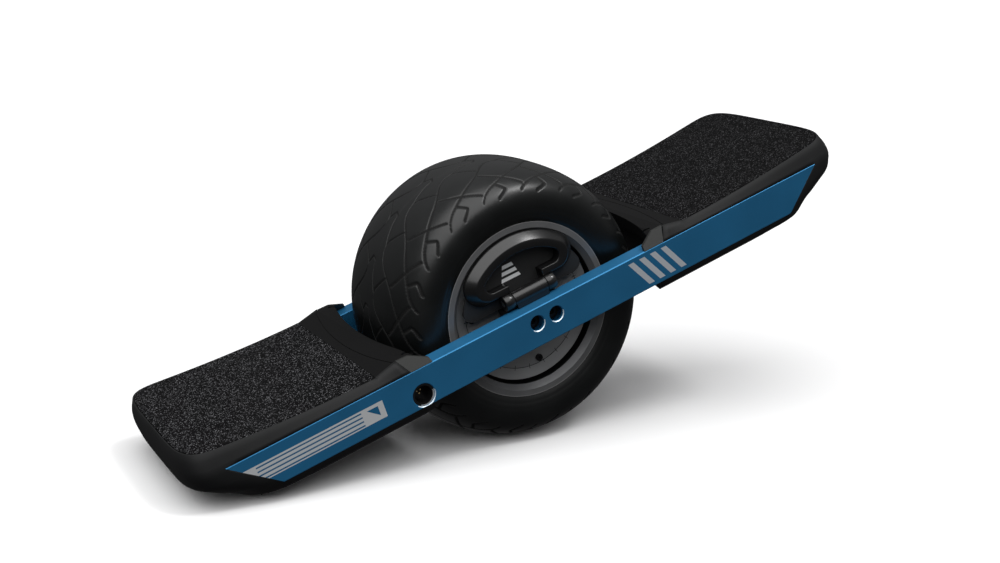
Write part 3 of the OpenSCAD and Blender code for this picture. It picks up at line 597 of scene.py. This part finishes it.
tyre_low, tyre_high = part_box("tyre")
tyre_radius = axle_height
tyre_half = (tyre_high[1] - tyre_low[1]) / 2
shoulder_drop = 35.5 * mm
wide_radius = tyre_radius - shoulder_drop
bead_radius = 93.4 * mm
section_power = 2.6
tread_repeats = 18
groove_depth, rib_height, rib_width = 1.5 * mm, 0.4 * mm, 0.9 * mm

# One repeat of the left half: [turn in degrees towards the crown, distance left of the middle]
sweep = np.array([[55.7, 33], [52.8, 24], [49.6, 14.5], [47.6, 12], [45.2, 12.6], [41.7, 17],
                  [39.1, 23], [36.2, 32], [33.0, 41], [30.1, 47], [25.4, 54], [20.6, 60.5],
                  [15.9, 66], [11.5, 70.5], [8.1, 75], [5.5, 79.5]])
cross = np.array([[33.2, 44.5], [36.4, 52.5], [40.2, 60], [44.3, 67.5], [47.3, 72.5]])
hook = np.array([[35.6, 67], [38.5, 75.5], [36.3, 78.5], [33.4, 81]])
link = np.array([[47.6, 12], [51.5, 7], [56.5, 2.5], [60.6, 0.5], [61.6, -6], [58.6, -12]])


def section(share):
    """Outer section over share 0 (middle) to 1 (bead): a quarter superellipse from the crown to the
    widest point, then a wall that curves in to the bead.  Returns radius and distance out."""
    angle = np.radians(90) * np.clip(share / 0.9, 0, 1) ** 1.05
    c, s = np.cos(angle), np.sin(angle)
    scale = ((s / tyre_half) ** section_power + (c / shoulder_drop) ** section_power) ** (
        -1 / section_power)
    radius, out = wide_radius + scale * c, scale * s
    wall = np.clip((share - 0.9) / 0.1, 0, 1)
    radius = np.where(share > 0.9, wide_radius + (bead_radius - wide_radius) * wall, radius)
    out = np.where(share > 0.9, tyre_half - 4 * mm * wall ** 1.7, out)
    return radius, out


def trench(turn, run, path, width, degree):
    """Smoothed distance to a path over a grid of turns in degrees and distances along the section,
    a degree being its own length in each row: 1 in the path's middle and 0 beyond its width."""
    best = np.zeros(np.broadcast(turn, run).shape)
    for (a0, b0), (a1, b1) in zip(path[:-1], path[1:]):
        dx, dy = (a1 - a0) * degree, b1 - b0
        px, py = (turn - a0) * degree, run - b0
        along = np.clip((px * dx + py * dy) / (dx * dx + dy * dy), 0, 1)
        distance = np.hypot(px - along * dx, py - along * dy)
        best = np.maximum(best, np.clip(1.5 - distance / width, 0, 1))
    return best


def tread_depth(turn, run, degree, laid, sign):
    """Depth of the grooves, 0 to 1, for one repeat; sign is -1 on the left half and 1 on the right,
    where the pattern is turned by half a repeat.  laid() turns a path's distances from the middle
    into distances along the section."""
    pitch = 360 / tread_repeats
    phase = 0 if sign < 0 else pitch / 2
    depth = np.zeros(np.broadcast(turn, run).shape)
    joined = link if sign < 0 else link * (1, -1)
    for shift in range(-4, 3):
        here = turn - shift * pitch - phase
        for path, width, deep in ((sweep, 0.62, 0.8), (cross, 0.8, 1.0), (hook, 0.85, 1.0)):
            depth = np.maximum(depth, deep * trench(here, run, laid(path), width, degree))
        there = turn - shift * pitch
        depth = np.maximum(depth, 0.85 * trench(there, run, laid(joined), 0.62, degree))
    return depth


def tyre_half_mesh(name, sign):
    """Turned section of one half: grooved outside from the middle to the widest point, plain wall
    to the bead, plain liner inside, closed by a flat wall at the middle."""
    per_repeat, tread_rows, wall_rows = 47, 96, 14
    turn = np.arange(per_repeat) * 360 / tread_repeats / per_repeat
    share = np.concatenate([np.linspace(0, 0.86, tread_rows, endpoint=False),
                            np.linspace(0.86, 1, wall_rows)])
    radius, out = section(share)
    run = np.concatenate([[0], np.cumsum(np.hypot(np.diff(radius), np.diff(out)))]) / mm
    widest = np.argmax(out)

    def laid(path):
        away = np.interp(np.abs(path[:, 1]), out[:widest] / mm, run[:widest])
        return np.stack([path[:, 0], np.sign(path[:, 1]) * away], 1)

    degree = np.radians(1) * radius[:, None] / mm
    cell = tread_depth(turn[None, :], run[:, None], degree, laid, sign)
    cell = cell * np.clip((run[widest] - run[:, None]) / 6, 0, 1)
    depth = np.tile(cell, (1, tread_repeats))
    angle = np.arange(depth.shape[1]) * 2 * math.pi / depth.shape[1]
    slope_r, slope_y = np.gradient(radius), np.gradient(out)
    length = np.hypot(slope_r, slope_y)
    normal_r, normal_y = slope_y / length, -slope_r / length
    ribs = sum(np.exp(-((radius - rib) / rib_width) ** 2) for rib in (97.5 * mm, 102 * mm))
    sink = groove_depth * depth - rib_height * ribs[:, None]
    r = radius[:, None] - sink * normal_r[:, None]
    y = out[:, None] - sink * normal_y[:, None]
    liner_r = np.array([86.0, 86.0, 95.0, 112.0, 128.0, 135.0, 137.0]) * mm
    liner_y = np.array([76.0, 64.0, 67.0, 76.0, 62.0, 35.0, 0.0]) * mm
    r = np.concatenate([r, np.repeat(liner_r[:, None], r.shape[1], 1)])
    y = np.concatenate([y, np.repeat(liner_y[:, None], y.shape[1], 1)])
    depth = np.concatenate([depth, np.zeros((len(liner_r), depth.shape[1]))])
    points = np.stack([-r * np.cos(angle), sign * y, axle_height + r * np.sin(angle)], -1)
    return grid_mesh(name, points, closed_u=True, closed_v=True, flip=sign < 0, values=depth)


def rubber(tree):
    """Black rubber with a faint bloom, and painted shade that blackens the grooves."""
    sunk = Wire(tree).node("Attribute", output=2, attribute_name="depth")
    fine = grain(tree, 0.7 * mm, 3.0, 0.6)
    cloud = grain(tree, 30 * mm, 3.0).above(0.3, 0.7)
    skin = cloud.blend((0.003, 0.0036, 0.0036), (0.0045, 0.0052, 0.0052))
    # Painted shade: the deeper a point of a groove, the nearer to black its base.
    return {"base": sunk.above(0.04, 0.35).blend(skin, (0.0004, 0.0004, 0.0004)),
            "roughness": 0.3 + cloud * 0.08 + sunk.above(0.0, 0.3) * 0.5, "height": fine * 0.03 * mm}


tyre_rubber = material("tyre_rubber", rubber, (0.009, 0.01, 0.01), 0.5, Specular_IOR_Level=0.5)
for side, sign in (("left", -1), ("right", 1)):
    piece("tyre_" + side + "_half", tyre_half_mesh("tyre_" + side + "_half", sign), tyre_rubber,
          "wheel", "tyre_rubber", "tyre")

# ---- Rim and hub covers ----
# A cast and turned aluminium rim under dark satin paint; a screwed cover closes each side.  The
# flange's lip is turned bare, a groove lies inside its bevel, blackened by painted shade, and short
# marks cross the seam round the cover.  The paint is lightened, the disc inside the groove most, as
# painted bounce light from the floor.

seam_marks = 24


def rim_paint_and_painted_light(tree):
    """Dark paint by distance from the axle: the lip, the bevel, the groove in painted shade, the
    seam and its marks, and the disc lightened as painted bounce light."""
    x, _, z = axes(tree)
    lifted = z - axle_height
    radius = distance(x, lifted)
    angle = lifted.maths("ARCTAN2", x)
    fine = grain(tree, 0.5 * mm, 3.0, 0.6)
    cloud = grain(tree, 25 * mm, 2.0)
    lip = (radius > 92.2 * mm) * (radius < 93.2 * mm)
    # Painted shade: the groove's ring is painted near black.
    groove = (radius > 78.2 * mm) * (radius < 81.2 * mm)
    seam = (radius > 66 * mm) * (radius < 66.7 * mm)
    mark = (angle * (seam_marks / (2 * math.pi)) + 0.5).maths("FRACT")
    marks = (mark < 0.035) * (radius > 63.5 * mm) * (radius < 69 * mm)
    dark = groove.maths("MAXIMUM", seam.maths("MAXIMUM", marks))
    # Painted bounce light: the disc's paint is much lighter, and all tones are raised, standing in
    # for light from the floor.
    disc = radius < 79 * mm
    paint = (cloud * 0.3 + disc * 0.7).blend((0.14, 0.142, 0.146), (0.36, 0.365, 0.37))
    paint = lip.blend(paint, (0.3, 0.3, 0.3))
    return {"base": dark.blend(paint, (0.003, 0.003, 0.003)), "roughness": 0.34 + cloud * 0.12,
            "height": fine * 0.01 * mm}


coat_with(material("rim_paint", rim_paint_and_painted_light, (0.08, 0.08, 0.082), 0.35, Metallic=0.4,
                   Specular_IOR_Level=0.4), "rim", "left_hub_cover", "right_hub_cover")


# ---- Carry handle ----
# A cast D-shaped bow stands on a hinge over the left rail: a broad bevel runs round its outer edge,
# two collars turn on the pin beside the fixed barrel, and a plate fills the window behind it.

bow_radius, bow_width = 85 * mm, 16 * mm
bow_low, window_low = 28 * mm, 41 * mm
bow_back, barrel_half = 81.2 * mm, 19.9 * mm
hinge_y, hinge_z = 92 * mm, 24.5 * mm
collar_radius, collar_length, collar_bevel, pin_radius = 8.6 * mm, 10.8 * mm, 0.6 * mm, 3.05 * mm


def d_outline(radius, low, corner):
    """A circle cut flat at a height, its corners rounded: along the flat edge from the barrel, round
    the corner, over the arc and back, as x and z."""
    centre_x, centre_z = math.sqrt((radius - corner) ** 2 - (low + corner) ** 2), low + corner
    meet = math.atan2(centre_z, centre_x)
    bend = np.linspace(-math.pi / 2, meet, 24, endpoint=False)
    arc = np.linspace(meet, math.pi / 2, 60)
    x = np.concatenate([np.linspace(barrel_half, centre_x, 10, endpoint=False),
                        centre_x + corner * np.cos(bend), radius * np.cos(arc)])
    z = np.concatenate([np.full(10, low), centre_z + corner * np.sin(bend), radius * np.sin(arc)])
    return np.concatenate([x, -x[-2::-1]]), np.concatenate([z, z[-2::-1]])


def bow_mesh(name):
    """Sections between the outer and the inner D: share 0 to 1 from the outer edge inwards, and the
    distance out from the wheel in millimetres."""
    profile = np.array([[0, 0], [0, 3.0], [0.03, 3.6], [0.42, 11.9], [0.46, 12.4], [0.52, 12.6],
                        [0.93, 12.6], [0.98, 12.4], [1, 11.9], [1, 0.6], [0.96, 0]])
    outer = np.stack(d_outline(bow_radius, bow_low, 20 * mm), -1)
    inner = np.stack(d_outline(bow_radius - bow_width, window_low, 8 * mm), -1)
    share = profile[:, 0, None, None]
    flat = outer + (inner - outer) * share
    out = np.broadcast_to(-bow_back - profile[:, 1, None] * mm, flat.shape[:2])
    points = np.stack([flat[..., 0], out, flat[..., 1]], -1)
    return grid_mesh(name, on_board(points), closed_v=True, caps=True)


def collar_mesh(name, side):
    """A ring on the hinge's pin, its edges bevelled."""
    face_edge = collar_radius - collar_bevel
    radius = np.array([pin_radius, face_edge, collar_radius, collar_radius, face_edge, pin_radius])
    along = barrel_half + np.array([0, 0, collar_bevel, collar_length - collar_bevel,
                                    collar_length, collar_length])
    turn = np.linspace(0, 2 * math.pi, 72, endpoint=False)
    y = -hinge_y + radius[:, None] * np.cos(turn)
    z = hinge_z + radius[:, None] * np.sin(turn)
    x = np.broadcast_to(side * along[:, None], y.shape)
    return grid_mesh(name, on_board(np.stack([x, y, z], -1)), closed_u=True, closed_v=True,
                     flip=side < 0)


def cast_metal(dark, bright):
    """Black anodised casting in two close shades, mixed in soft patches."""
    def paint(tree):
        fine = grain(tree, 0.5 * mm, 3.0, 0.6)
        cloud = grain(tree, 25 * mm, 2.0)
        return {"base": cloud.blend((dark, dark, 1.03 * dark), (bright, bright, 1.03 * bright)),
                "roughness": 0.2 + cloud * 0.1, "height": fine * 0.008 * mm}
    return paint


handle_metal = material("handle_metal", cast_metal(0.005, 0.007), (0.006, 0.006, 0.006), 0.25,
                        Specular_IOR_Level=0.6)
piece("handle_bow", bow_mesh("handle_bow"), handle_metal, "handle", "handle_metal", "carry_handle")
for side, sign in (("left", -1), ("right", 1)):
    piece("handle_collar_" + side, collar_mesh("handle_collar_" + side, sign), handle_metal,
          "handle", "handle_metal", "carry_handle")
coat_with(handle_metal, "handle_hinge_block")


def marked_plate(tree):
    """A dark plate with a plain white mark: three level bars, each shorter than the one below."""
    x, y, z = level_axes(tree)
    dx, dz = x + 9.1 * mm, z - 49.6 * mm
    bar = stripes(dz + 9 * mm, dz, 6.6 * mm, 0.6, -9 * mm, 9 * mm)
    mark = bar * (dx.maths("ABSOLUTE") + dz * 0.35 < 8.5 * mm) * (y < -80.2 * mm)
    fine = grain(tree, 0.7 * mm, 3.0)
    return {"base": mark.blend((0.026, 0.0264, 0.027), (0.8, 0.81, 0.82)),
            "roughness": 0.4 + fine * 0.1}


coat_with(material("handle_plate", marked_plate, (0.01, 0.01, 0.01), 0.4,
                   Specular_IOR_Level=0.2), "handle_back_plate")

# ---- Smaller parts ----
# Screws, bolts, boards, boxes, cables and lamps, each in the finish of its own material.

def plain(base, other, rough, size=8 * mm, relief=0.01 * mm):
    """Two close shades in soft patches with a fine relief."""
    def paint(tree):
        cloud = grain(tree, size, 3.0)
        fine = grain(tree, 0.5 * mm, 3.0)
        return {"base": cloud.above(0.3, 0.7).blend(base, other),
                "roughness": rough - 0.05 + cloud * 0.1, "height": fine * relief}
    return paint


def layered(tree):
    """Sheets of electrical steel stacked across the board."""
    _, y, _ = axes(tree)
    sheet = (y / (0.5 * mm)).maths("FRACT")
    return {"base": (sheet < 0.3).blend((0.19, 0.17, 0.15), (0.07, 0.06, 0.055))}


def diodes(tree):
    """Small square light emitters every 10 mm on a white strip."""
    _, y, _ = level_axes(tree)
    step = (y / (10 * mm) + 0.5).maths("FRACT")
    return {"base": ((step > 0.35) * (step < 0.65)).blend((0.7, 0.68, 0.6), (0.85, 0.6, 0.12))}


def socket_painted_highlight(tree):
    """Black plastic with a painted highlight: a light grey arc on one side of the rim of the
    socket's hole.
    """
    x, y, z = level_axes(tree)
    dx, dz = x - socket_x, z - socket_z
    # Painted highlight on the lower side of the hole's rim only.
    rim_highlight = (distance(dx, dz) > 10.2 * mm) * (dx * 0.6 - dz > 5.5 * mm) * (y < 0)
    return {"base": rim_highlight.blend((0.006, 0.006, 0.0065), (0.35, 0.36, 0.37))}


for name, paint, base, rough, more, parts in (
        ("ground_steel", plain((0.48, 0.49, 0.5), (0.56, 0.56, 0.57), 0.3), (0.5, 0.5, 0.52), 0.3,
         {"Metallic": 1.0}, "axle wheel_bearings handle_hinge_pin plate_screws lid_screws "
         "button_spring"),
        ("nickel_plate", plain((0.55, 0.54, 0.51), (0.62, 0.61, 0.58), 0.22), (0.6, 0.6, 0.57), 0.2,
         {"Metallic": 1.0}, "plate_magnets handle_magnets rotor_magnets"),
        ("satin_button", plain((0.5, 0.52, 0.54), (0.58, 0.6, 0.62), 0.25), (0.55, 0.57, 0.6), 0.25,
         {"Metallic": 1.0}, "power_button"),
        ("black_steel", plain((0.010, 0.010, 0.011), (0.016, 0.016, 0.017), 0.35),
         (0.012, 0.012, 0.013), 0.35, {"Metallic": 0.5}, "axle_bolts skid_screws hub_cover_screws"),
        ("black_anodised", plain((0.010, 0.010, 0.011), (0.015, 0.015, 0.016), 0.4),
         (0.012, 0.012, 0.013), 0.4, {"Metallic": 0.4}, "left_axle_block right_axle_block "
         "battery_box controller_box"),
        ("lid_plastic", plain((0.018, 0.019, 0.02), (0.024, 0.025, 0.027), 0.5), (0.02, 0.02, 0.02),
         0.5, {}, "battery_lid controller_lid"),
        ("cell_wrap", plain((0.02, 0.16, 0.09), (0.03, 0.2, 0.11), 0.3), (0.02, 0.18, 0.1), 0.3, {},
         "battery_cells"),
        ("circuit_board", plain((0.01, 0.09, 0.035), (0.02, 0.13, 0.05), 0.35, 5 * mm),
         (0.01, 0.1, 0.04), 0.35, {}, "battery_board controller_board"),
        ("machined_metal", plain((0.4, 0.41, 0.43), (0.46, 0.47, 0.49), 0.35), (0.42, 0.43, 0.45),
         0.35, {"Metallic": 0.9}, "power_stage"),
        ("laminations", layered, (0.15, 0.13, 0.12), 0.5, {"Metallic": 0.6}, "stator_core"),
        ("copper_coils", plain((0.5, 0.17, 0.05), (0.62, 0.24, 0.08), 0.3), (0.55, 0.2, 0.07), 0.3,
         {"Metallic": 0.9}, "stator_windings"),
        ("cable_jacket", plain((0.008, 0.008, 0.009), (0.012, 0.012, 0.013), 0.55),
         (0.01, 0.01, 0.01), 0.55, {}, "motor_cable charge_cable"),
        ("socket_plastic", socket_painted_highlight, (0.006, 0.006, 0.007), 0.3, {}, "charge_socket button_bezel"),
        ("gold_pins", plain((0.9, 0.68, 0.34), (1.0, 0.78, 0.42), 0.25), (0.95, 0.7, 0.36), 0.25,
         {"Metallic": 0.3}, "charge_pins"),
        ("smoked_window", plain((0.006, 0.006, 0.007), (0.008, 0.008, 0.009), 0.1),
         (0.006, 0.006, 0.007), 0.1, {}, "front_light_lens rear_light_lens"),
        ("light_strip", diodes, (0.7, 0.66, 0.5), 0.5, {}, "front_light_board rear_light_board"),
        ("seal_rubber", plain((0.08, 0.024, 0.012), (0.1, 0.03, 0.016), 0.5), (0.09, 0.03, 0.01),
         0.5, {}, "shaft_seals"),
        ("valve_brass", plain((0.45, 0.3, 0.1), (0.52, 0.36, 0.13), 0.3), (0.48, 0.33, 0.1), 0.3,
         {"Metallic": 1.0}, "valve_stem"),
        ("cap_plastic", plain((0.01, 0.01, 0.01), (0.014, 0.014, 0.014), 0.45), (0.01, 0.01, 0.01),
         0.45, {}, "valve_cap"),
        ("sensor_film", plain((0.32, 0.17, 0.04), (0.4, 0.22, 0.06), 0.35), (0.35, 0.2, 0.05), 0.35,
         {}, "foot_sensor")):
    coat_with(material(name, paint, base, rough, **more), *parts.split())
